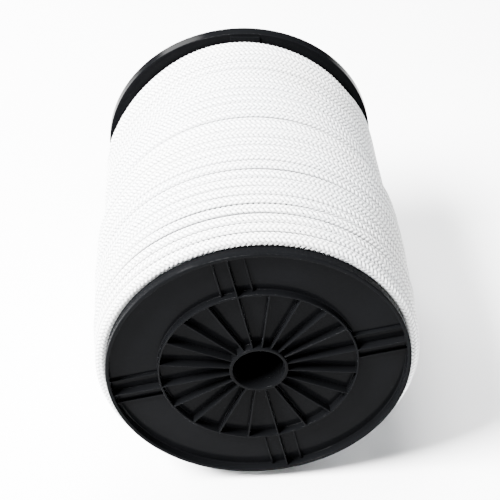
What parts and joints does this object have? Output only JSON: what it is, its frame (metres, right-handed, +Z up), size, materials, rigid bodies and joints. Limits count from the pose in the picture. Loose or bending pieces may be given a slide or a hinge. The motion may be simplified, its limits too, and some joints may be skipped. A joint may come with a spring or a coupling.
{
  "type": "reel of braided cord",
  "caption": "Black plastic reel with ribbed flanges and a central bore, wound past its rims with white braided cord, lying on its side.",
  "frame": {"origin": "middle of the bore, half way between the outer faces of the two flanges", "axes": "+Z up with the reel lying on its side; +Y along the bore, from the front flange to the rear flange; +X to the right seen from the front flange"},
  "size_m": [0.1514, 0.177, 0.1514],
  "materials": {
    "reel_plastic": "semi-gloss moulded black plastic",
    "cord_white": "white braided synthetic cord, slight sheen",
    "cord_core": "the same white cord where it lies out of sight"
  },
  "bodies": {
    "root": {"front_flange": "reel_plastic", "rear_flange": "reel_plastic", "barrel": "reel_plastic", "bore_tube": "reel_plastic", "cord_inner_layers": "cord_core", "cord_full_layer": "cord_white", "cord_top_layer": "cord_white"}
  },
  "joints": []
}
